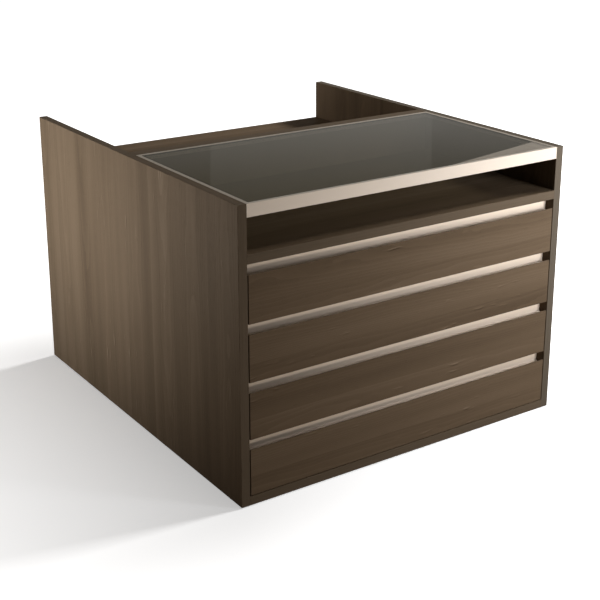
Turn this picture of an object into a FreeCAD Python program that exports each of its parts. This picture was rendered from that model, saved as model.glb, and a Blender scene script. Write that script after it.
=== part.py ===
import FreeCAD, Part
import os
os.makedirs("parts", exist_ok=True)

# Closet island: four drawers under a glass-topped display at the front,
# and an open luggage bay behind the centre divider.
# Millimetres. The origin is on the floor under the middle of the island,
# +X to the right, +Y from the drawer fronts to the back, +Z up.

vector = FreeCAD.Vector

# Overall size
island_width = 1270.0
island_depth = 1405.0
island_height = 950.0

# Boards of the carcass
board = 30.0
divider_thickness = 46.0
partition_thickness = 20.0
shelf_top = 800.0
foot_height = 2.0
arris = 0.8

# Drawer fronts and the finger gaps above them
drawer_count = 4
front_thickness = 22.0
finger_gap = 31.5
side_reveal = 3.0
bottom_reveal = 2.5
grip_land = 2.5

# Handle profile: a concave channel set back behind each finger gap
handle_wall_depth = 36.0
handle_metal = 1.5
handle_cove = 10.0
handle_overlap = 18.0
handle_mouth = 2.0
handle_flange = 20.0
bracket_metal = 2.0
bracket_reach = 20.0
bracket_height = 30.0

# Drawer boxes
box_wall = 15.0
box_length = 600.0
box_clearance = 4.0
base_thickness = 8.0
base_rise = 12.0
groove_depth = 6.0
groove_play = 0.1
tongue = 6.0

# Telescopic runners, three nested channels on each side
runner_space = 13.0
runner_height = 45.0
runner_metal = 1.5
runner_depth = 10.0
runner_lip = 3.0
runner_play = 0.3
middle_inset = 1.8
middle_depth = 9.7
middle_lip = 3.9
drawer_rail_depth = 9.0
cabinet_rail_start = 32.0
cabinet_rail_length = 608.0
middle_rail_start = 28.0
middle_rail_length = 592.0
drawer_rail_start = 24.0
drawer_rail_length = 596.0

# Glass top and its aluminium frame
frame_rim = 12.0
frame_metal = 2.0
frame_front_height = 40.0
frame_side_height = 25.0
frame_ledge = 10.0
glass_thickness = 6.0
glass_recess = 0.5
glass_play = 0.4
seal_thickness = 1.5
seal_width = 8.0

# Adjustable feet
foot_radius = 14.0
foot_edge = 0.6
stem_radius = 4.0
stem_length = 26.0
stem_play = 0.3
foot_inset = 70.0

# Planes and heights that follow from the sizes above
front_face = -island_depth / 2
back_face = island_depth / 2
half_width = island_width / 2
inner_half = half_width - board
divider_front = -divider_thickness / 2
divider_back = divider_thickness / 2
floor_top = foot_height + board
shelf_bottom = shelf_top - board
first_front_bottom = floor_top + bottom_reveal
front_height = (shelf_bottom - first_front_bottom - drawer_count * finger_gap) / drawer_count
handle_wall = front_face + handle_wall_depth
box_front = front_face + front_thickness
box_back = box_front + box_length
box_half = inner_half - runner_space
ledge_top = island_height - glass_recess - glass_thickness - seal_thickness


def front_bottom(number):
    """Underside of a drawer front; drawer 1 is the top one."""
    return first_front_bottom + (drawer_count - number) * (front_height + finger_gap)


def front_top(number):
    return front_bottom(number) + front_height


def block(xs, ys, zs):
    """A box from three (low, high) pairs."""
    corner = vector(xs[0], ys[0], zs[0])
    return Part.makeBox(xs[1] - xs[0], ys[1] - ys[0], zs[1] - zs[0], corner)


def edges_along(shape, axes):
    """The straight edges that run along the named axes."""
    units = {"x": vector(1, 0, 0), "y": vector(0, 1, 0), "z": vector(0, 0, 1)}
    found = []
    for edge in shape.Edges:
        run = edge.Vertexes[-1].Point.sub(edge.Vertexes[0].Point)
        if any(abs(run.dot(units[axis])) > run.Length * 0.999 for axis in axes):
            found.append(edge)
    return found


def panel(xs, ys, zs, axes):
    """A board with its edges along the named axes broken by a small arris."""
    solid = block(xs, ys, zs)
    return solid.makeChamfer(arris, edges_along(solid, axes))


def extrude(points, run):
    """Extrude a closed outline of 3-D points along the vector run."""
    outline = Part.makePolygon(points + [points[0]])
    return Part.Face(outline).extrude(run)


def extrude_x(outline, xs):
    """Extrude a closed (y, z) outline between two x positions."""
    points = [vector(xs[0], y, z) for y, z in outline]
    return extrude(points, vector(xs[1] - xs[0], 0, 0))


def extrude_y(outline, ys):
    """Extrude a closed (x, z) outline between two y positions."""
    points = [vector(x, ys[0], z) for x, z in outline]
    return extrude(points, vector(0, ys[1] - ys[0], 0))


def both_sides(solid):
    """The solid and its mirror image on the other side of the island."""
    return [solid, solid.mirror(vector(0, 0, 0), vector(1, 0, 0))]


def cut_all(solid, tools):
    return solid.cut(Part.makeCompound(tools)) if tools else solid


# Adjustable feet

def foot_places():
    """(x, y) of each foot: four under each side panel, two under the divider."""
    panel_centre = half_width - board / 2
    near = front_face + foot_inset
    far = back_face - foot_inset
    step = (far - near) / 3
    places = []
    for side in (-1, 1):
        for index in range(4):
            places.append((side * panel_centre, near + index * step))
        places.append((side * inner_half / 2, 0))
    return places


def foot(x, y):
    """A glide with a threaded stem, as a revolved outline."""
    outline = [
        (0, 0),
        (foot_radius - foot_edge, 0),
        (foot_radius, foot_edge),
        (foot_radius, foot_height),
        (stem_radius, foot_height),
        (stem_radius, foot_height + stem_length),
        (0, foot_height + stem_length),
    ]
    points = [vector(r, 0, z) for r, z in outline]
    section = Part.Face(Part.makePolygon(points + [points[0]]))
    solid = section.revolve(vector(0, 0, 0), vector(0, 0, 1), 360)
    solid.translate(vector(x, y, 0))
    return solid


def stem_bores():
    """Blind bores for the stems of the feet, cut from the undersides."""
    radius = stem_radius + stem_play
    length = stem_length + 2 * stem_play
    start = foot_height
    return [Part.makeCylinder(radius, length, vector(x, y, start)) for x, y in foot_places()]


# Carcass

def side_panel():
    """The right side panel, full depth, with its arris all round."""
    xs = (inner_half, half_width)
    solid = panel(xs, (front_face, back_face), (foot_height, island_height), "xyz")
    return solid


def carcass_boards():
    """Every board of the carcass by name, before its bores are cut."""
    xs = (-inner_half, inner_half)
    front_bay = (front_face, divider_front)
    rear_bay = (divider_back, back_face)
    floor = (foot_height, floor_top)
    shelf = (shelf_bottom, shelf_top)
    inner_depth = (divider_back, back_face - board)
    partition = (-partition_thickness / 2, partition_thickness / 2)
    right, left = both_sides(side_panel())
    return {
        "side_panel_left": left,
        "side_panel_right": right,
        "centre_divider": panel(
            xs, (divider_front, divider_back), (foot_height, island_height), "x"),
        "bottom_board_front": panel(xs, front_bay, floor, "x"),
        "bottom_board_rear": panel(xs, rear_bay, floor, "x"),
        "display_shelf": panel(xs, front_bay, shelf, "x"),
        "luggage_shelf": panel(xs, rear_bay, shelf, "x"),
        "back_panel": block(xs, (back_face - board, back_face), (floor_top, shelf_bottom)),
        "rear_partition": block(partition, inner_depth, (floor_top, shelf_bottom)),
    }


def carcass():
    """The boards, bored for the stems of the feet, and the feet themselves."""
    bores = stem_bores()
    parts = {}
    for name, solid in carcass_boards().items():
        box = solid.BoundBox
        near = [bore for bore in bores if box.intersect(bore.BoundBox)]
        parts[name] = [cut_all(solid, near)]
    parts["adjustable_feet"] = [foot(x, y) for x, y in foot_places()]
    return parts


# Handle profiles

def cove_bar(metal, mouth, zs):
    """A bar across the island with its two rear edges rounded to the cove."""
    xs = (-inner_half, inner_half)
    solid = block(xs, (mouth, handle_wall + metal), (zs[0] - metal, zs[1] + metal))
    rear = [edge for edge in edges_along(solid, "x") if edge.CenterOfMass.y > handle_wall - 1]
    return solid.makeFillet(handle_cove + metal, rear)


def handle_channel(number):
    """The concave channel behind the finger gap above a drawer front.

    The middle ones curve forward above and below the gap. The top one
    keeps a straight wall up to the display shelf, with a fixing flange
    turned back under the shelf.
    """
    gap_bottom = front_top(number)
    gap_top = gap_bottom + finger_gap
    mouth = box_front + handle_mouth
    zs = (gap_bottom - handle_overlap, gap_top + handle_overlap)
    channel = cove_bar(handle_metal, mouth, zs)
    channel = channel.cut(cove_bar(0.0, mouth - 1, zs))
    if number > 1:
        return channel
    xs = (-inner_half, inner_half)
    ys = (handle_wall, handle_wall + handle_flange)
    above = block(xs, (mouth - 1, ys[1]), (gap_bottom, gap_top + 2 * handle_overlap))
    wall = block(xs, (ys[0], ys[0] + handle_metal), (gap_bottom, shelf_bottom))
    flange = block(xs, ys, (shelf_bottom - handle_metal, shelf_bottom))
    return channel.cut(above).fuse([wall, flange]).removeSplitter()


def handle_brackets():
    """An angle at each end of each channel, fixed to the side panel."""
    solids = []
    back = handle_wall + handle_metal
    for number in range(1, drawer_count + 1):
        centre = front_top(number) + finger_gap / 2
        zs = (centre - bracket_height / 2, centre + bracket_height / 2)
        if number == 1:
            zs = (front_top(number) - handle_overlap / 2, shelf_bottom - 2 * handle_metal)
        plate = block((inner_half - bracket_metal, inner_half), (back, back + bracket_reach), zs)
        tab = block((inner_half - bracket_reach, inner_half), (back, back + bracket_metal), zs)
        solids += both_sides(plate.fuse(tab).removeSplitter())
    return solids


# Runners

def lipped_channel(web, mouth, half_height, lip, ys, centre):
    """A C channel with inward lips, from its web at x = web to its mouth."""
    inward = 1 if mouth > web else -1
    wall = inward * runner_metal
    top = half_height - runner_metal
    half = [
        (web, half_height),
        (mouth, half_height),
        (mouth, top - lip),
        (mouth - wall, top - lip),
        (mouth - wall, top),
        (web + wall, top),
    ]
    if lip == 0:
        half = [half[0], half[1], (mouth, top), half[5]]
    outline = half + [(x, -z) for x, z in reversed(half)]
    return extrude_y([(x, centre + z) for x, z in outline], ys)


def runner(number):
    """The three nested channels on the right-hand side of one drawer."""
    centre = (front_bottom(number) + front_top(number)) / 2
    cabinet_half = runner_height / 2
    middle_half = cabinet_half - runner_metal - runner_lip - runner_play
    rail_half = middle_half - runner_metal - middle_lip - runner_play
    start = front_face + cabinet_rail_start
    cabinet = lipped_channel(
        inner_half, inner_half - runner_depth, cabinet_half, runner_lip,
        (start, start + cabinet_rail_length), centre)
    start = front_face + middle_rail_start
    web = inner_half - middle_inset
    middle = lipped_channel(
        web, web - middle_depth, middle_half, middle_lip,
        (start, start + middle_rail_length), centre)
    start = front_face + drawer_rail_start
    rail = lipped_channel(
        box_half, box_half + drawer_rail_depth, rail_half, 0,
        (start, start + drawer_rail_length), centre)
    return cabinet, middle, rail


# Drawers

def drawer_box(number):
    """Sides, ends and base of one box, tongued together round a grooved-in base."""
    low = front_bottom(number) + handle_overlap + box_clearance
    high = front_top(number) - handle_overlap - box_clearance
    inner = box_half - box_wall
    base_low = low + base_rise
    base = block(
        (-inner - groove_depth, inner + groove_depth),
        (box_front + box_wall - groove_depth, box_back - box_wall + groove_depth),
        (base_low, base_low + base_thickness))
    play = vector(groove_play, groove_play, groove_play)
    box = base.BoundBox
    groove = block(
        (box.XMin - play.x, box.XMax + play.x),
        (box.YMin - play.y, box.YMax + play.y),
        (box.ZMin, box.ZMax))
    ends = {}
    for name, near in (("front", box_front), ("back", box_back - box_wall)):
        board_end = block((-inner, inner), (near, near + box_wall), (low, high))
        mid = near + box_wall / 2
        tongues = block(
            (-inner - groove_depth, inner + groove_depth),
            (mid - tongue / 2, mid + tongue / 2),
            (low, high))
        ends[name] = board_end.fuse(tongues).removeSplitter()
    side = block((inner, box_half), (box_front, box_back), (low, high))
    side = cut_all(side, [ends["front"], ends["back"], groove])
    right, left = both_sides(side)
    return {
        "box_left": [left],
        "box_right": [right],
        "box_front": [ends["front"].cut(groove)],
        "box_back": [ends["back"].cut(groove)],
        "base": [base],
    }


def face_front(number):
    """The face of one drawer, its top edge bevelled down to the back as a finger grip."""
    half = inner_half - side_reveal
    bottom, top = front_bottom(number), front_top(number)
    fall = front_thickness - grip_land
    outline = [
        (front_face, bottom),
        (box_front, bottom),
        (box_front, top - fall),
        (front_face + grip_land, top),
        (front_face, top),
    ]
    solid = extrude_x(outline, (-half, half))
    return solid.makeChamfer(arris, solid.Edges)


def drawer(number):
    """One drawer with its face front and its share of the runners."""
    cabinet, middle, rail = runner(number)
    parts = {f"drawer_{number}_front": [face_front(number)]}
    for name, solids in drawer_box(number).items():
        parts[f"drawer_{number}_{name}"] = solids
    parts[f"drawer_{number}_rails"] = both_sides(rail)
    parts[f"runner_{number}_middle_rails"] = both_sides(middle)
    parts[f"runner_{number}_cabinet_rails"] = both_sides(cabinet)
    parts[f"handle_profile_{number}"] = [handle_channel(number)]
    return parts


# Glass top

def frame_section(height):
    """Outline of a frame bar: web, rim, downstand and ledge, from the outer face in."""
    top = island_height
    under = ledge_top - frame_metal
    rim_end = frame_rim
    ledge_end = frame_rim + frame_ledge
    return [
        (0, top - height),
        (0, top),
        (rim_end, top),
        (rim_end, ledge_top),
        (ledge_end, ledge_top),
        (ledge_end, under),
        (rim_end - frame_metal, under),
        (rim_end - frame_metal, top - frame_metal),
        (frame_metal, top - frame_metal),
        (frame_metal, top - height),
    ]


def mitre(corner, towards, along_x):
    """The waste beyond the 45 degree mitre at one corner of the frame."""
    reach = frame_rim + frame_ledge + 10
    x, y = corner
    far = (x + towards[0] * reach, y + towards[1] * reach)
    side = (x, far[1]) if along_x else (far[0], y)
    low = island_height - 2 * frame_front_height
    points = [vector(x, y, low), vector(far[0], far[1], low), vector(side[0], side[1], low)]
    return extrude(points, vector(0, 0, 3 * frame_front_height))


def glass_frame():
    """Four bars round the glass, mitred at the corners."""
    xs = (-inner_half, inner_half)
    ys = (front_face, divider_front)
    front_outline = [(ys[0] + d, z) for d, z in frame_section(frame_front_height)]
    rear_outline = [(ys[1] - d, z) for d, z in frame_section(frame_side_height)]
    right_outline = [(xs[1] - d, z) for d, z in frame_section(frame_side_height)]
    front = extrude_x(front_outline, xs)
    rear = extrude_x(rear_outline, xs)
    right = extrude_y(right_outline, ys)
    for x, dx in ((xs[0], 1), (xs[1], -1)):
        front = front.cut(mitre((x, ys[0]), (dx, 1), True))
        rear = rear.cut(mitre((x, ys[1]), (dx, -1), True))
    right = right.cut(mitre((xs[1], ys[0]), (-1, 1), False))
    right = right.cut(mitre((xs[1], ys[1]), (-1, -1), False))
    right, left = both_sides(right)
    return {
        "glass_frame_front": [front],
        "glass_frame_rear": [rear],
        "glass_frame_left": [left],
        "glass_frame_right": [right],
    }


def glass_top():
    """The pane and the seal ring that it lies on."""
    edge = frame_rim + glass_play
    xs = (-inner_half + edge, inner_half - edge)
    ys = (front_face + edge, divider_front - edge)
    pane = panel(xs, ys, (ledge_top + seal_thickness, island_height - glass_recess), "xyz")
    zs = (ledge_top, ledge_top + seal_thickness)
    ring = block(xs, ys, zs)
    hole = block(
        (xs[0] + seal_width, xs[1] - seal_width),
        (ys[0] + seal_width, ys[1] - seal_width),
        (zs[0] - 1, zs[1] + 1))
    return {"glass_top": [pane], "glass_seal": [ring.cut(hole)]}


# Assembly

def island():
    parts = carcass()
    for number in range(1, drawer_count + 1):
        parts.update(drawer(number))
    parts["handle_brackets"] = handle_brackets()
    parts.update(glass_frame())
    parts.update(glass_top())
    return parts


for name, solids in island().items():
    shape = solids[0] if len(solids) == 1 else Part.makeCompound(solids)
    if not shape.isValid():
        raise ValueError(name + " is not valid")
    shape.exportStep(f"parts/{name}.step")
    print(name, len(solids), "solids")
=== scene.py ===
import math
from functools import reduce
from operator import add

import bmesh
import bpy
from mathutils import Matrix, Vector


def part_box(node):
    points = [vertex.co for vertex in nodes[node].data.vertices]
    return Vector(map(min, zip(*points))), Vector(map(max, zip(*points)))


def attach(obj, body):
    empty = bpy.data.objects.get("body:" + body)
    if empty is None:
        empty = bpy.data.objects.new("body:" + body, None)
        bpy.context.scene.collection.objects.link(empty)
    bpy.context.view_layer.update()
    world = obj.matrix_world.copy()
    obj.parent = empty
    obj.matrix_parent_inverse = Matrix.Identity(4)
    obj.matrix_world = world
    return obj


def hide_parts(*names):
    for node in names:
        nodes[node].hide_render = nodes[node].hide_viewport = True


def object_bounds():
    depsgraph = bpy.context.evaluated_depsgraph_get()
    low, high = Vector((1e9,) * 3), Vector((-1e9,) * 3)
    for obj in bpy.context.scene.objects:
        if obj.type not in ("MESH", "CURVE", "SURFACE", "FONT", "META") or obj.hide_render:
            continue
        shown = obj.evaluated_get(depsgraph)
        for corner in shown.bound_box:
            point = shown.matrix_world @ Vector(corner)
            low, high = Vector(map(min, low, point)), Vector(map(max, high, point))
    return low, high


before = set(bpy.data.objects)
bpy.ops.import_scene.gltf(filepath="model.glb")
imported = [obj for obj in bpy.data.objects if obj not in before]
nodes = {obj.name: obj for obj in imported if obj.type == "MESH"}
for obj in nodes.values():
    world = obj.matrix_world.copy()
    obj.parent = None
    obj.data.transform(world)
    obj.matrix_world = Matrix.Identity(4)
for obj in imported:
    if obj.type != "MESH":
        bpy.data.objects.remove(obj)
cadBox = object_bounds()
drawerNumbers = range(1, 5)
print("frame loaded:", len(nodes), "nodes")


# Node trees written as Python sums

class Value:  # one socket, wrapped so that it can stand in a Python expression
    def __init__(self, nodeTree, socket):
        self.nodeTree = nodeTree
        self.socket = socket

    def __add__(self, other):
        return self.nodeTree.maths("ADD", self, other)

    def __radd__(self, other):
        return self.nodeTree.maths("ADD", other, self)

    def __sub__(self, other):
        return self.nodeTree.maths("SUBTRACT", self, other)

    def __rsub__(self, other):
        return self.nodeTree.maths("SUBTRACT", other, self)

    def __mul__(self, other):
        return self.nodeTree.maths("MULTIPLY", self, other)

    def __truediv__(self, other):
        return self.nodeTree.maths("DIVIDE", self, other)

    def __pow__(self, other):
        return self.nodeTree.maths("POWER", self, other)

    def __abs__(self):
        return self.nodeTree.maths("ABSOLUTE", self)


class NodeTree:  # builds shader, world and geometry trees alike
    def __init__(self, tree):
        self.tree = tree

    def add(self, kind, settings=None, inputs=None, output=0):
        node = self.tree.nodes.new(kind)
        for name, value in (settings or {}).items():
            if name == "stops":
                self.fillRamp(node.color_ramp, value)
            else:
                setattr(node, name, value)
        for key, value in (inputs or {}).items():
            if isinstance(value, Value):
                self.tree.links.new(value.socket, node.inputs[key])
            else:
                node.inputs[key].default_value = value
        if node.outputs:
            return Value(self, node.outputs[output])

    def fillRamp(self, ramp, stops):
        while len(ramp.elements) > 1:
            ramp.elements.remove(ramp.elements[-1])
        for index, (position, colour) in enumerate(stops):
            stop = ramp.elements[0] if index == 0 else ramp.elements.new(position)
            stop.position = position
            stop.color = (*colour, 1.0)

    def read(self, kind, *names):  # named outputs of a node that takes no inputs
        node = self.tree.nodes.new(kind)
        return [Value(self, node.outputs[name]) for name in names]

    def maths(self, operation, *values):
        return self.add("ShaderNodeMath", {"operation": operation}, dict(enumerate(values)))

    def least(self, first, second):
        return self.maths("MINIMUM", first, second)

    def most(self, first, second):
        return self.maths("MAXIMUM", first, second)

    def floor(self, value):
        return self.maths("FLOOR", value)

    def fraction(self, value):
        return self.maths("FRACT", value)

    def vector(self, x, y, z):
        return self.add("ShaderNodeCombineXYZ", None, {0: x, 1: y, 2: z})

    def split(self, vector):
        node = self.add("ShaderNodeSeparateXYZ", None, {0: vector}).socket.node
        return [Value(self, socket) for socket in node.outputs]

    def between(self, value, low, high):  # 0 at low, 1 at high, smooth in between
        settings = {"interpolation_type": "SMOOTHSTEP"}
        return self.add("ShaderNodeMapRange", settings, {0: value, 1: low, 2: high})

    def mix(self, factor, first, second, kind="MIX"):
        settings = {"data_type": "RGBA", "blend_type": kind}
        return self.add("ShaderNodeMix", settings, {0: factor, 6: first, 7: second}, 2)

    def tinted(self, shade, tint):
        return self.mix(1.0, shade, tint, "MULTIPLY")


class Finish(NodeTree):  # one material
    def __init__(self, name):
        self.material = bpy.data.materials.new(name)
        self.material.use_nodes = True
        super().__init__(self.material.node_tree)
        self.tree.nodes.clear()

    def axes(self):
        return self.split(*self.read("ShaderNodeTexCoord", "Object"))

    def grained(self, alongAxis, acrossAxes):  # also the distances along and across the grain
        place = dict(zip("xyz", self.axes()))
        return place, place[alongAxis], reduce(add, [place[axis] for axis in acrossAxes])

    def facing(self, axis, start=0.5, end=0.9):  # 1 on faces square to the axis, 0 along it
        normal = dict(zip("xyz", self.split(*self.read("ShaderNodeTexCoord", "Normal"))))
        return self.between(abs(normal[axis]), start, end)

    def noise(self, x, y, z=0.0, detail=2.0, roughness=0.5):
        return self.add("ShaderNodeTexNoise", None, {
            "Vector": self.vector(x, y, z), "Scale": 1.0, "Detail": detail, "Roughness": roughness})

    def dice(self, value):  # three steady random numbers for one whole number
        settings = {"noise_dimensions": "1D"}
        return self.split(self.add("ShaderNodeTexWhiteNoise", settings, {"W": value}, "Color"))

    def ramp(self, value, stops):
        return self.add("ShaderNodeValToRGB", {"stops": stops}, {0: value})

    def bump(self, height, depth):
        return self.add("ShaderNodeBump", None, {
            "Height": height, "Distance": depth, "Strength": 1.0})

    def close(self, shader):
        self.add("ShaderNodeOutputMaterial", None, {"Surface": shader})
        return self.material

    def surface(self, inputs):
        return self.close(self.add("ShaderNodeBsdfPrincipled", None, inputs))


def colour(red, green, blue):
    return (red, green, blue, 1.0)


def putIn(name, data):  # a new object in the scene
    carrier = bpy.data.objects.new(name, data)
    bpy.context.scene.collection.objects.link(carrier)
    return carrier


# Timber

stainedTimber = {
    "dark": (0.041, 0.027, 0.016),
    "middle": (0.103, 0.072, 0.046),
    "light": (0.173, 0.128, 0.088),
    "tone": 0.46,  # place between dark at 0 and light at 1
    "grains": {  # how many features a metre has along the grain and across it
        "drift": (0.9, 3.1), "slow": (2.2, 9.0), "quick": (9.0, 45.0), "band": (0.55, 11.0),
        "fibre": (9.0, 520.0), "pore": (26.0, 900.0), "streak": (7.0, 130.0),
        "wave": (16.0, 4.0), "patch": (2.5, 6.0), "fleck": (9.0, 80.0), "edge": (5.0, 400.0)},
    "ranges": {  # noise below the first number shows nothing, above the second all
        "pore": (0.56, 0.70), "streak": (0.64, 0.78), "patch": (0.48, 0.62),
        "fleck": (0.62, 0.76)},
    "leafWidth": 0.183875,
    "leafShift": 0.31,
    "leafTone": 0.14,
    "leafWander": 0.5,
    "leafStep": 7.3,
    "driftWidth": 0.03,
    "archSteepness": 26.0,
    "archRun": 4.0,
    "slowWander": 3.2,
    "quickWander": 0.5,
    "ringSharpness": 2.4,
    "ringMean": 0.3,
    "ringTone": 0.09,
    "ringRelief": 0.25,
    "bandStep": 3.0,
    "bandTone": 0.58,
    "fibreTone": 0.11,
    "fibreRelief": 0.3,
    "fibreRoughness": 0.10,
    "poreTone": 0.11,
    "poreRelief": 0.7,
    "poreRoughness": 0.15,
    "streakTone": 0.07,
    "fleckTone": 0.40,
    "fleckWave": 0.012,
    "fleckAside": 0.005,
    "fleckShadow": 0.7,
    "edgeTone": 0.30,
    "edgeTint": colour(0.935, 1.0, 1.08),
    "roughness": 0.58,
    "gloss": 0.02,
    "relief": 0.00035,
}

# The right panel's narrow faces are tinted cooler and greyer than the left panel's: painted light,
# for how the light falls on its edges
rightPanelTimberPaintedEdgeLight = dict(stainedTimber, edgeTint=colour(0.88, 1.02, 1.20))

drawerTimber = dict(
    stainedTimber,
    dark=(0.150, 0.108, 0.072),
    middle=(0.285, 0.220, 0.155),
    light=(0.400, 0.325, 0.245),
    leafWidth=0.11,
    ringTone=0.16,
    bandTone=0.32,
    poreTone=0.18,
    fibreTone=0.34,
    streakTone=0.12,
    fleckTone=0.0,
    edgeTint=colour(1.0, 1.0, 1.0),
    roughness=0.46,
    relief=0.0002,
)


def makeTimber(name, alongAxis, acrossAxes, broadAxis, look):
    finish = Finish(name)
    place, along, across = finish.grained(alongAxis, acrossAxes)

    def grain(kind, seed=0.0, detail=2.0, aside=across):
        alongScale, acrossScale = look["grains"][kind]
        return finish.noise(along * alongScale, aside * acrossScale, seed, detail)

    def shown(kind, noise):
        return finish.between(noise, *look["ranges"][kind])

    # Each veneer leaf has its own arches; the drift keeps its joints from being ruled lines
    drift = (grain("drift") - 0.5) * look["driftWidth"]
    leafPlace = (across + drift) / look["leafWidth"] + look["leafShift"]
    leaf = finish.floor(leafPlace)
    shift, slope, shade = finish.dice(leaf)
    inLeaf = finish.fraction(leafPlace) - 0.5 + (shift - 0.5) * look["leafWander"]
    slow = grain("slow", leaf) - 0.5
    quick = grain("quick", leaf) - 0.5
    arch = (inLeaf * inLeaf * look["archSteepness"] + (slope * 2.0 - 1.0) * along * look["archRun"]
            + slow * look["slowWander"] + quick * look["quickWander"] + leaf * look["leafStep"])
    ring = finish.fraction(arch) ** look["ringSharpness"]

    band = grain("band", leaf * look["bandStep"])
    fibre = grain("fibre", detail=3.0) - 0.5
    pore = shown("pore", grain("pore")) * (1.0 - ring)
    streak = shown("streak", grain("streak", seed=4.0))

    # Short pale flecks, each with a dark one beside it, gathered in patches
    wave = (grain("wave", seed=6.0) - 0.5) * look["fleckWave"]
    patch = shown("patch", grain("patch", seed=7.0))
    pale, shadow = [
        shown("fleck", grain("fleck", seed=5.0, aside=across + wave + aside))
        for aside in (0.0, look["fleckAside"])]
    fleck = (pale - shadow * look["fleckShadow"]) * patch

    tone = (look["tone"] + (band - 0.5) * look["bandTone"]
            + (ring - look["ringMean"]) * look["ringTone"] + fibre * look["fibreTone"]
            + streak * look["streakTone"] + fleck * look["fleckTone"] - pore * look["poreTone"]
            + (shade - 0.5) * look["leafTone"])
    height = fibre * look["fibreRelief"] - pore * look["poreRelief"] + ring * look["ringRelief"]
    stops = [(0.0, look["dark"]), (0.5, look["middle"]), (1.0, look["light"])]
    veneer = finish.ramp(tone, stops)

    # The edge bands on the narrow faces run along them and are a little greyer than the veneer
    edgeAlong, edgeAcross = look["grains"]["edge"]
    narrow = finish.noise(*[
        place[axis] * (edgeAcross if axis == broadAxis else edgeAlong) for axis in "xyz"],
        detail=3.0)
    edge = finish.ramp(look["tone"] + (narrow - 0.5) * look["edgeTone"], stops)
    return finish.surface({
        "Base Color": finish.mix(
            finish.facing(broadAxis), finish.tinted(edge, look["edgeTint"]), veneer),
        "Roughness": (look["roughness"] + pore * look["poreRoughness"]
                      + fibre * look["fibreRoughness"]),
        "Specular IOR Level": look["gloss"],
        "Normal": finish.bump(height, look["relief"]),
    })


timberSide = makeTimber("timberSide", "z", "xy", "x", stainedTimber)
timberRight = makeTimber("timberRight", "z", "xy", "x", rightPanelTimberPaintedEdgeLight)
timberAcross = makeTimber("timberAcross", "z", "xy", "y", stainedTimber)
timberBoard = makeTimber("timberBoard", "x", "yz", "z", stainedTimber)
timberFront = makeTimber("timberFront", "x", "yz", "y", stainedTimber)
drawerTimberAlongX = makeTimber("drawerTimberAlongX", "x", "yz", "y", drawerTimber)
drawerTimberAlongY = makeTimber("drawerTimberAlongY", "y", "xz", "x", drawerTimber)
print("timber done")


# Metal, glass, rubber and plastic

barMetal = {
    "colour": colour(0.60, 0.515, 0.432),
    "top": colour(0.36, 0.32, 0.27),  # painted shade: a darker colour on faces that look up; None where they are alike
    "metallic": 0.05,
    "roughness": 0.42,
    "gloss": 0.15,
    "scratches": (6.0, 2600.0),  # how many a metre has along the grain and across it
    "scratchRoughness": 0.10,
    "clouds": (3.0, 14.0),
    "cloudRoughness": 0.06,
    "relief": 0.00003,
}

# The channels' metal is paler than the bar's: painted light, brightening the recessed channels
channelMetal = dict(
    barMetal, colour=colour(0.72, 0.59, 0.467), top=None, metallic=0.15, gloss=0.05)
# The rims' top faces get a darker colour too, painted shade
rimMetal = dict(
    barMetal, colour=colour(0.56, 0.475, 0.393), top=colour(0.46, 0.41, 0.35), metallic=0.50)


def makeChampagneMetal(name, alongAxis, acrossAxes, look):
    finish = Finish(name)
    along, across = finish.grained(alongAxis, acrossAxes)[1:]

    def grain(kind, **more):
        alongScale, acrossScale = look[kind]
        return finish.noise(along * alongScale, across * acrossScale, **more)

    scratch = grain("scratches", detail=3.0, roughness=0.6)
    cloud = grain("clouds", z=2.0)
    shade = look["colour"]
    # Faces that look up get the darker top colour, painted shade
    if look["top"]:
        shade = finish.mix(finish.facing("z"), shade, look["top"])
    return finish.surface({
        "Base Color": shade,
        "Metallic": look["metallic"],
        "Roughness": (look["roughness"] + (scratch - 0.5) * look["scratchRoughness"]
                      + (cloud - 0.5) * look["cloudRoughness"]),
        "Specular IOR Level": look["gloss"],
        "Normal": finish.bump(scratch, look["relief"]),
    })


champagneBar = makeChampagneMetal("champagneBar", "x", "yz", barMetal)
champagneRimAlongX = makeChampagneMetal("champagneRimAlongX", "x", "yz", rimMetal)
champagneRimAlongY = makeChampagneMetal("champagneRimAlongY", "y", "xz", rimMetal)
champagneChannel = makeChampagneMetal("champagneChannel", "x", "yz", channelMetal)

runnerSteel = {
    "colour": colour(0.44, 0.45, 0.465),
    "dull": colour(0.31, 0.32, 0.335),
    "roughness": 0.34,
    "spangles": 90.0,
    "spangleRoughness": 0.15,
    "rollMarks": (400.0, 5.0, 400.0),  # how many a metre has along x, y and z
    "rollRoughness": 0.10,
    "relief": 0.00004,
}


def makeRunnerSteel(look):
    finish = Finish("runnerSteel")
    axes = finish.axes()
    spangle = finish.noise(*[axis * look["spangles"] for axis in axes], detail=3.0)
    rolled = finish.noise(*[axis * marks for axis, marks in zip(axes, look["rollMarks"])])
    return finish.surface({
        "Base Color": finish.mix(spangle, look["dull"], look["colour"]),
        "Metallic": 1.0,
        "Roughness": (look["roughness"] + (spangle - 0.5) * look["spangleRoughness"]
                      + (rolled - 0.5) * look["rollRoughness"]),
        "Normal": finish.bump(rolled, look["relief"]),
    })


steel = makeRunnerSteel(runnerSteel)

smokedGlass = {
    "tint": colour(0.325, 0.313, 0.272),
    "shadow": colour(0.44, 0.44, 0.41),
    "dustSpots": 9.0,
    "dustRange": (0.45, 0.75),
    "dustRoughness": 0.015,
    "index": 1.45,
}


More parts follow.
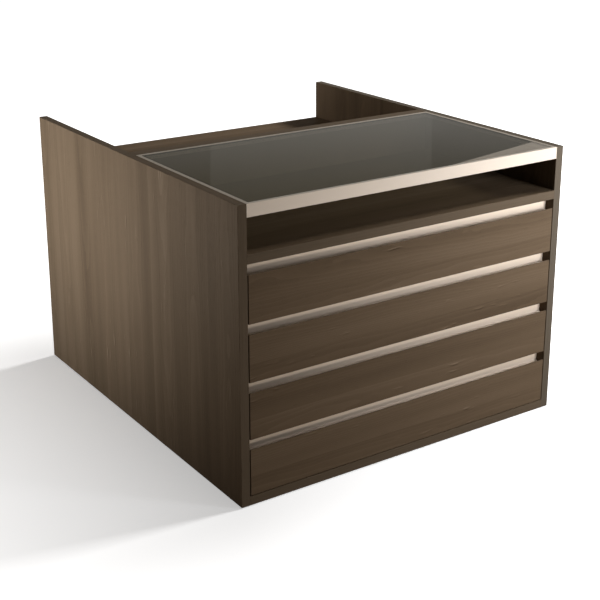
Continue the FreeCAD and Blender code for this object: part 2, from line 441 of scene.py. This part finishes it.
def makeSmokedGlass(look):
    finish = Finish("smokedGlass")
    spots = finish.noise(
        *[axis * look["dustSpots"] for axis in finish.axes()], detail=4.0, roughness=0.6)
    polished = finish.add("ShaderNodeBsdfPrincipled", None, {
        "Base Color": look["tint"],
        "Roughness": finish.between(spots, *look["dustRange"]) * look["dustRoughness"],
        "Transmission Weight": 1.0,
        "IOR": look["index"],
    })
    # Lamps shine through the pane, so that what lies under it is lit
    through = finish.add("ShaderNodeBsdfTransparent", None, {"Color": look["shadow"]})
    shadow, = finish.read("ShaderNodeLightPath", "Is Shadow Ray")
    return finish.close(finish.add("ShaderNodeMixShader", None, {
        0: shadow, 1: polished, 2: through}))


glass = makeSmokedGlass(smokedGlass)

sealMoulding = {
    "colour": (0.028, 0.028, 0.029),
    "hollow": 0.85,  # painted shade in the grain's hollows, as a part of the colour
    "roughness": 0.62,
    "grainRoughness": 0.12,
    "grainSize": 0.0012,
    "grainDepth": 0.05,  # part of its size
}

footMoulding = dict(
    sealMoulding, colour=(0.045, 0.045, 0.047), roughness=0.48, grainSize=0.0009)


def makeMoulded(name, look):
    finish = Finish(name)
    grain = finish.noise(*[axis / look["grainSize"] for axis in finish.axes()])
    # The grain's hollows are painted darker, painted shade that follows the bump
    hollow = [part * look["hollow"] for part in look["colour"]]
    return finish.surface({
        "Base Color": finish.mix(grain, colour(*hollow), colour(*look["colour"])),
        "Roughness": look["roughness"] + (grain - 0.5) * look["grainRoughness"],
        "Normal": finish.bump(grain, look["grainSize"] * look["grainDepth"]),
    })


sealRubber = makeMoulded("sealRubber", sealMoulding)
footPlastic = makeMoulded("footPlastic", footMoulding)


def ofDrawers(*names):
    return [name.format(number) for number in drawerNumbers for name in names]


finishes = {
    timberSide: ["side_panel_left", "rear_partition"],
    timberRight: ["side_panel_right"],
    timberAcross: ["centre_divider", "back_panel"],
    timberBoard: ["bottom_board_front", "bottom_board_rear", "display_shelf", "luggage_shelf"],
    timberFront: ofDrawers("drawer_{}_front"),
    drawerTimberAlongX: ofDrawers(
        "drawer_{}_box_front", "drawer_{}_box_back", "drawer_{}_base"),
    drawerTimberAlongY: ofDrawers("drawer_{}_box_left", "drawer_{}_box_right"),
    champagneBar: ["glass_frame_front"],
    champagneRimAlongX: ["glass_frame_rear"],
    champagneRimAlongY: ["glass_frame_left", "glass_frame_right"],
    champagneChannel: ofDrawers("handle_profile_{}"),
    steel: ["handle_brackets", *ofDrawers(
        "drawer_{}_rails", "runner_{}_middle_rails", "runner_{}_cabinet_rails")],
    glass: ["glass_top"],
    sealRubber: ["glass_seal"],
    footPlastic: ["adjustable_feet"],
}
for material, names in finishes.items():
    for name in names:
        for slot in nodes[name].material_slots:
            slot.material = material
print("finishes on the frame done")


# Geometry node trees: named inputs in, one plain mesh out

class Former(NodeTree):
    sharpFrom = math.radians(35.0)
    kinds = {float: "NodeSocketFloat", int: "NodeSocketInt",
             bpy.types.Material: "NodeSocketMaterial", bpy.types.Object: "NodeSocketObject"}

    def __init__(self, name, sizes):
        super().__init__(bpy.data.node_groups.new(name, "GeometryNodeTree"))
        face = self.tree.interface
        self.identifiers = {}
        for key, value in sizes.items():
            kind = next(kind for valueType, kind in self.kinds.items()
                        if isinstance(value, valueType))
            socket = face.new_socket(key, in_out="INPUT", socket_type=kind)
            self.identifiers[key] = socket.identifier
        face.new_socket("Geometry", in_out="OUTPUT", socket_type="NodeSocketGeometry")
        self.given = dict(zip(sizes, self.read("NodeGroupInput", *sizes)))

    def join(self, geometries):
        node = self.tree.nodes.new("GeometryNodeJoinGeometry")
        for geometry in geometries:
            self.tree.links.new(geometry.socket, node.inputs[0])
        return Value(self, node.outputs[0])

    def close(self, geometry):
        whole = self.add("GeometryNodeRealizeInstances", None, {0: geometry})
        dressed = self.add("GeometryNodeSetMaterial", None, {
            0: whole, "Material": self.given["Finish"]})
        self.add("NodeGroupOutput", None, {0: dressed})

    def form(self, name, sizes):
        piece = putIn(name, bpy.data.meshes.new(name))
        modifier = piece.modifiers.new(name, "NODES")
        modifier.node_group = self.tree
        for key, value in sizes.items():
            modifier[self.identifiers[key]] = value
        bpy.context.view_layer.update()
        ready = piece.evaluated_get(bpy.context.evaluated_depsgraph_get())
        mesh = bpy.data.meshes.new_from_object(ready)
        piece.modifiers.remove(modifier)
        piece.data = mesh
        mesh.name = name
        mesh.shade_smooth()
        mesh.set_sharp_from_angle(angle=self.sharpFrom)
        return piece


# Handle channels: a strip of metal bent round the cove behind each finger gap

handleChannel = {
    "length": 1.210,
    "metal": 0.0015,
    "cove": 0.010,
    "bend": 0.0015,  # inside radius of the top channel's fixing flange
    "wall": -0.6665,  # front face of the wall
    "mouth": -0.6785,
    "overlap": 0.018,
    "flange": 0.020,
    "lipRound": 0.0004,
    "lipSteps": 2,
    "bendSteps": 10,
    "gap": 0.0315,
}


def channelFormer(sizes):
    former = Former("handleChannel", sizes)
    given = former.given
    wall = given["Wall"] + given["Metal"] / 2.0
    outline = former.add("GeometryNodeCurvePrimitiveQuadrilateral", {"mode": "POINTS"}, {
        "Point 1": former.vector(0.0, given["Upper Lip"], given["Top"]),
        "Point 2": former.vector(0.0, wall, given["Top"]),
        "Point 3": former.vector(0.0, wall, given["Bottom"]),
        "Point 4": former.vector(0.0, given["Lower Lip"], given["Bottom"])})
    strip = former.add("GeometryNodeSetSplineCyclic", None, {0: outline, "Cyclic": False})
    # The strip's first two corners, 0 and 1, are its upper ones
    upper = former.maths("LESS_THAN", former.add("GeometryNodeInputIndex"), 1.5)
    radius = upper * given["Upper Bend"] + (1.0 - upper) * given["Lower Bend"]
    bent = former.add("GeometryNodeFilletCurve", {"mode": "POLY"}, {
        "Curve": strip, "Count": given["Bend Steps"], "Radius": radius, "Limit Radius": True})
    facing = former.add("GeometryNodeSetCurveNormal", {"mode": "FREE"}, {
        "Curve": bent, "Normal": (1.0, 0.0, 0.0)})
    section = former.add("GeometryNodeCurvePrimitiveQuadrilateral", None, {
        "Width": given["Length"], "Height": given["Metal"]})
    section = former.add("GeometryNodeFilletCurve", {"mode": "POLY"}, {
        "Curve": section, "Count": given["Lip Steps"], "Radius": given["Lip Round"],
        "Limit Radius": True})
    former.close(former.add("GeometryNodeCurveToMesh", None, {
        "Curve": facing, "Profile Curve": section, "Fill Caps": True}))
    return former


def makeHandleChannels(look):
    former = None
    half = look["metal"] / 2
    cove = look["cove"] + half
    for number in drawerNumbers:
        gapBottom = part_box(f"drawer_{number}_front")[1].z
        sizes = {
            "Length": look["length"],
            "Metal": look["metal"],
            "Wall": look["wall"],
            "Top": gapBottom + look["gap"] + look["overlap"] + half,
            "Bottom": gapBottom - look["overlap"] - half,
            "Upper Lip": look["mouth"],
            "Lower Lip": look["mouth"],
            "Upper Bend": cove,
            "Lower Bend": cove,
            "Lip Round": look["lipRound"],
            "Lip Steps": look["lipSteps"],
            "Bend Steps": look["bendSteps"],
            "Finish": champagneChannel,
        }
        if number == drawerNumbers[0]:  # a flange under the shelf carries the top channel
            sizes["Top"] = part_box("display_shelf")[0].z - half
            sizes["Upper Lip"] = look["wall"] + look["flange"]
            sizes["Upper Bend"] = look["bend"] + half
        former = former or channelFormer(sizes)
        channel = former.form(f"handleChannel_{number}", sizes)
        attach(channel, "carcass")
        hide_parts(f"handle_profile_{number}")


makeHandleChannels(handleChannel)
print("handle channels done")


# Screws that hold the drawer rails to the boxes, in the open side of each rail

railScrew = {
    "headRadius": 0.0032,
    "headHeight": 0.0018,
    "headSides": 16,
    "headProfile": [(1.0, 0.0), (1.0, 0.35), (0.86, 0.72), (0.62, 0.95)],  # of radius and height
    "headTurn": 0.9,  # how much further each head is turned than the one before, in radians
    "recessDepth": 0.0011,
    "recessWidth": 0.0006,
    "recessReach": 0.55,  # part of the head's radius
    "recessTaper": 0.8,
    "firstFromFront": 0.037,
    "spacing": 0.128,
    "count": 5,
    "web": 0.5935,  # inner face of the rail's web
}


def screwHead(look):
    head = bmesh.new()
    radius, height, sides = look["headRadius"], look["headHeight"], look["headSides"]

    def spread(vertices):  # each vertex with the next one round
        return zip(vertices, vertices[1:] + vertices[:1])

    rings = [[head.verts.new((
        radius * scale * math.cos(math.tau * step / sides),
        radius * scale * math.sin(math.tau * step / sides),
        height * rise)) for step in range(sides)] for scale, rise in look["headProfile"]]
    for lower, upper in zip(rings, rings[1:]):
        for (first, second), (above, following) in zip(spread(lower), spread(upper)):
            head.faces.new((first, second, following, above))
    head.faces.new(list(reversed(rings[0])))

    # The cross recess: four arms about the middle, cut down from the top face
    reach, half = radius * look["recessReach"], look["recessWidth"]
    cross = []
    for quarter in range(4):
        turn = math.pi / 2 * quarter
        for along, aside in ((half, -half), (reach, -half), (reach, half)):
            cross.append((along * math.cos(turn) - aside * math.sin(turn),
                          along * math.sin(turn) + aside * math.cos(turn)))
    taper, bottom = look["recessTaper"], height - look["recessDepth"]
    rim = [head.verts.new((x, y, height)) for x, y in cross]
    floor = [head.verts.new((x * taper, y * taper, bottom)) for x, y in cross]
    for (first, second), (below, following) in zip(spread(rim), spread(floor)):
        head.faces.new((second, first, below, following))
    head.faces.new(floor)
    edges = [head.edges.get(pair) for loop in (rings[-1], rim) for pair in spread(loop)]
    bmesh.ops.bridge_loops(head, edges=edges)
    bmesh.ops.recalc_face_normals(head, faces=head.faces)
    mesh = bpy.data.meshes.new("screwHead")
    head.to_mesh(mesh)
    head.free()
    return putIn("screwHead", mesh)


def screwFormer(sizes):
    former = Former("railScrews", sizes)
    given = former.given
    part = former.add("GeometryNodeObjectInfo", None, {"Object": given["Head"]}, "Geometry")
    rows = []
    for side in (-1.0, 1.0):
        line = former.add("GeometryNodeMeshLine", None, {
            "Count": given["Count"],
            "Start Location": former.vector(given["Web"] * side, given["First"], given["Height"]),
            "Offset": former.vector(0.0, given["Spacing"], 0.0)})
        turn = former.add("GeometryNodeInputIndex") * given["Head Turn"]
        rows.append(former.add("GeometryNodeInstanceOnPoints", None, {
            "Points": line, "Instance": part,
            "Rotation": former.vector(turn, math.pi / 2 * side, 0.0)}))
    former.close(former.join(rows))
    return former


def makeRailScrews(look):
    head = screwHead(look)
    former = None
    for number in drawerNumbers:
        low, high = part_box(f"drawer_{number}_rails")
        sizes = {
            "Head": head,
            "Head Turn": look["headTurn"],
            "Count": look["count"],
            "Web": look["web"],
            "First": low.y + look["firstFromFront"],
            "Height": (low.z + high.z) / 2,
            "Spacing": look["spacing"],
            "Finish": steel,
        }
        former = former or screwFormer(sizes)
        screws = former.form(f"railScrews_{number}", sizes)
        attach(screws, f"drawer_{number}")
    bpy.data.objects.remove(head)


makeRailScrews(railScrew)
print("rail screws done")


# Floor, studio and camera

studioFloor = {
    "size": 60.0,
    "shade": colour(0.30, 0.26, 0.21),  # what the island is lit by
    "paint": colour(0.95, 0.95, 0.95),  # what the camera and reflections see
    "lift": 0.22,
    "nearLift": 0.24,
    "farLift": 0.53,
    "farEnd": 1.0,
    "litLift": 0.12,  # painted light, added in front, behind, to the right and far to the left, leaving a painted shadow in the strip left of the island
    "litRange": (0.03, 0.35),
    # length of the painted shadow's strip left of the island, and the width of its soft ends
    "shadowReach": 1.6,
    "shadowBlur": 0.15,
}


def makeFloor(look):
    half = look["size"] / 2
    mesh = bpy.data.meshes.new("floor")
    mesh.from_pydata([(-half, -half, 0), (half, -half, 0), (half, half, 0), (-half, half, 0)],
                     [], [(0, 1, 2, 3)])
    floor = putIn("floor", mesh)
    finish = Finish("floorPaint")
    rays = finish.read("ShaderNodeLightPath", "Is Camera Ray", "Is Glossy Ray",
                       "Is Transmission Ray")
    seen = finish.least(reduce(add, rays), 1.0)
    matt = finish.add("ShaderNodeBsdfDiffuse", None, {
        "Color": finish.mix(seen, look["shade"], look["paint"])})
    # Painted light on the floor for the camera: away from the island's outline it rises to plain
    # white, which leaves painted shade near the island, and the lit part leaves a painted shadow in
    # a strip to its left
    x, y = finish.axes()[:2]
    outline = cadBox[1]
    beside = finish.most(abs(x) - outline[0], 0.0)
    before = finish.most(abs(y) - outline[1], 0.0)
    far = finish.least((beside * beside + before * before) ** 0.5 / look["farEnd"], 1.0)
    reach = look["shadowReach"] / 2
    shadowEnd = outline[0] + reach
    lit = finish.most(
        finish.between(before, *look["litRange"]),
        finish.between(abs(x + reach), shadowEnd, shadowEnd + look["shadowBlur"]))
    level = (seen * look["lift"]
             + rays[0] * (look["nearLift"] + far * look["farLift"] + lit * look["litLift"]))
    lift = finish.add("ShaderNodeEmission", None, {
        "Color": finish.mix(level, colour(0.0, 0.0, 0.0), colour(1.0, 1.0, 1.0))})
    floor.data.materials.append(
        finish.close(finish.add("ShaderNodeAddShader", None, {0: matt, 1: lift})))
    return floor


studioWorld = {
    "white": colour(1.0, 1.0, 1.0),
    "ambient": colour(0.05, 0.042, 0.034),
    "ceiling": colour(0.130, 0.111, 0.073),
    "ceilingRange": (0.02, 0.30),  # sines of the heights where the white starts and ends to fade
}


def makeWorld(look):
    world = bpy.data.worlds.new("studio")
    bpy.context.scene.world = world
    world.use_nodes = True
    sky = NodeTree(world.node_tree)
    sky.tree.nodes.clear()
    camera, glossy, transmitted = sky.read(
        "ShaderNodeLightPath", "Is Camera Ray", "Is Glossy Ray", "Is Transmission Ray")
    height = sky.split(*sky.read("ShaderNodeTexCoord", "Generated"))[2]
    # White at the horizon, where the floor meets the backdrop, and a dimmer ceiling above it
    above = sky.between(height, *look["ceilingRange"]) * (1.0 - camera)
    seen = sky.most(camera, sky.most(glossy, transmitted))
    background = sky.add("ShaderNodeBackground", None, {
        "Color": sky.mix(seen, look["ambient"], sky.mix(above, look["white"], look["ceiling"]))})
    sky.add("ShaderNodeOutputWorld", None, {"Surface": background})


plainLamp = {"spread": 180.0, "tone": (1.0, 1.0, 1.0), "sparesFloor": False, "mirrored": False}
warmTone = (1.05, 0.99, 0.92)
studioLamps = {
    "keyFront": {"place": (4.0, -1.33, 3.4), "aim": (0.0, -0.6, 0.4), "size": (0.8, 0.8),
                 "power": 165.0},
    "keyRear": {"place": (4.0, 1.09, 3.4), "aim": (0.0, 0.3, 0.4), "size": (0.8, 0.8),
                "power": 165.0},
    "side": {"place": (-1.845, 0.507, 0.641), "aim": (-0.635, 0.945, 1.967),
             "size": (1.126, 1.126), "power": 45.0, "spread": 178.0,
             "tone": (0.96, 1.0, 1.03), "sparesFloor": True, "mirrored": True},
    "front": {"place": (0.88, -2.1, 1.08), "aim": (0.88, -0.7025, 1.00), "size": (0.6, 0.6),
              "power": 16.5, "spread": 112.0, "tone": (0.96, 1.0, 1.06)},
    "fill": {"place": (0.8, -3.4, 0.16), "aim": (0.0, -0.7025, 0.3), "size": (2.0, 0.3),
             "power": 23.5, "tone": warmTone},
    "sideFill": {"place": (-6.0, 1.0, 0.6), "aim": (-0.635, 0.0, 0.4), "size": (2.0, 1.0),
                 "power": 36.0, "tone": warmTone, "sparesFloor": True},
    "backFill": {"place": (-0.2, 3.4, 1.1), "aim": (0.0, 0.7, 0.5), "size": (1.0, 1.2),
                 "power": 95.0, "tone": (1.03, 1.0, 0.95), "sparesFloor": True},
    "band": {"place": (2.612, 3.529, 2.3), "aim": (0.0, 0.0, 0.9), "size": (1.60, 1.85),
             "power": 0.42, "tone": (1.0, 0.97, 0.88), "mirrored": True},
    "corner": {"place": (4.20, 3.635, 2.9), "aim": (4.393, 2.654, 2.9), "size": (2.4, 1.0),
               "power": 3.2, "tone": (1.15, 1.0, 0.85), "mirrored": True},
}


def makeLamp(name, look, floor):
    lamp = bpy.data.lights.new(name, "AREA")
    lamp.shape = "RECTANGLE"
    lamp.size, lamp.size_y = look["size"]
    lamp.color = look["tone"]
    lamp.energy = look["power"]
    lamp.spread = math.radians(look["spread"])
    carrier = putIn(name, lamp)
    carrier.location = look["place"]
    aim = Vector(look["aim"]) - Vector(look["place"])
    carrier.rotation_euler = aim.to_track_quat("-Z", "Y").to_euler()
    carrier.visible_camera = False
    carrier.visible_glossy = carrier.visible_transmission = look["mirrored"]
    if look["sparesFloor"]:
        spared = bpy.data.collections.new(name + "Spares")
        spared.objects.link(floor)
        spared.collection_objects[0].light_linking.link_state = "EXCLUDE"
        carrier.light_linking.receiver_collection = spared


view = {
    "place": (-2.3280, -3.5202, 1.9124),
    "turn": 0.5941,  # radians
    "tilt": 0.2968,
    "sensor": 36.0,  # millimetres
    "lens": 73.83,
    "shift": -80 / 600,  # 80 pixels of 600
}


def makeCamera(look):
    camera = bpy.data.cameras.new("camera")
    camera.sensor_width = look["sensor"]
    camera.lens = look["lens"]
    camera.shift_y = look["shift"]
    carrier = putIn("camera", camera)
    carrier.location = look["place"]
    carrier.rotation_euler = (math.pi / 2 - look["tilt"], 0.0, -look["turn"])
    bpy.context.scene.camera = carrier


floor = makeFloor(studioFloor)
makeWorld(studioWorld)
for name, look in studioLamps.items():
    makeLamp(name + "Lamp", {**plainLamp, **look}, floor)
makeCamera(view)
bpy.context.scene.view_settings.view_transform = "Standard"
print("studio done")
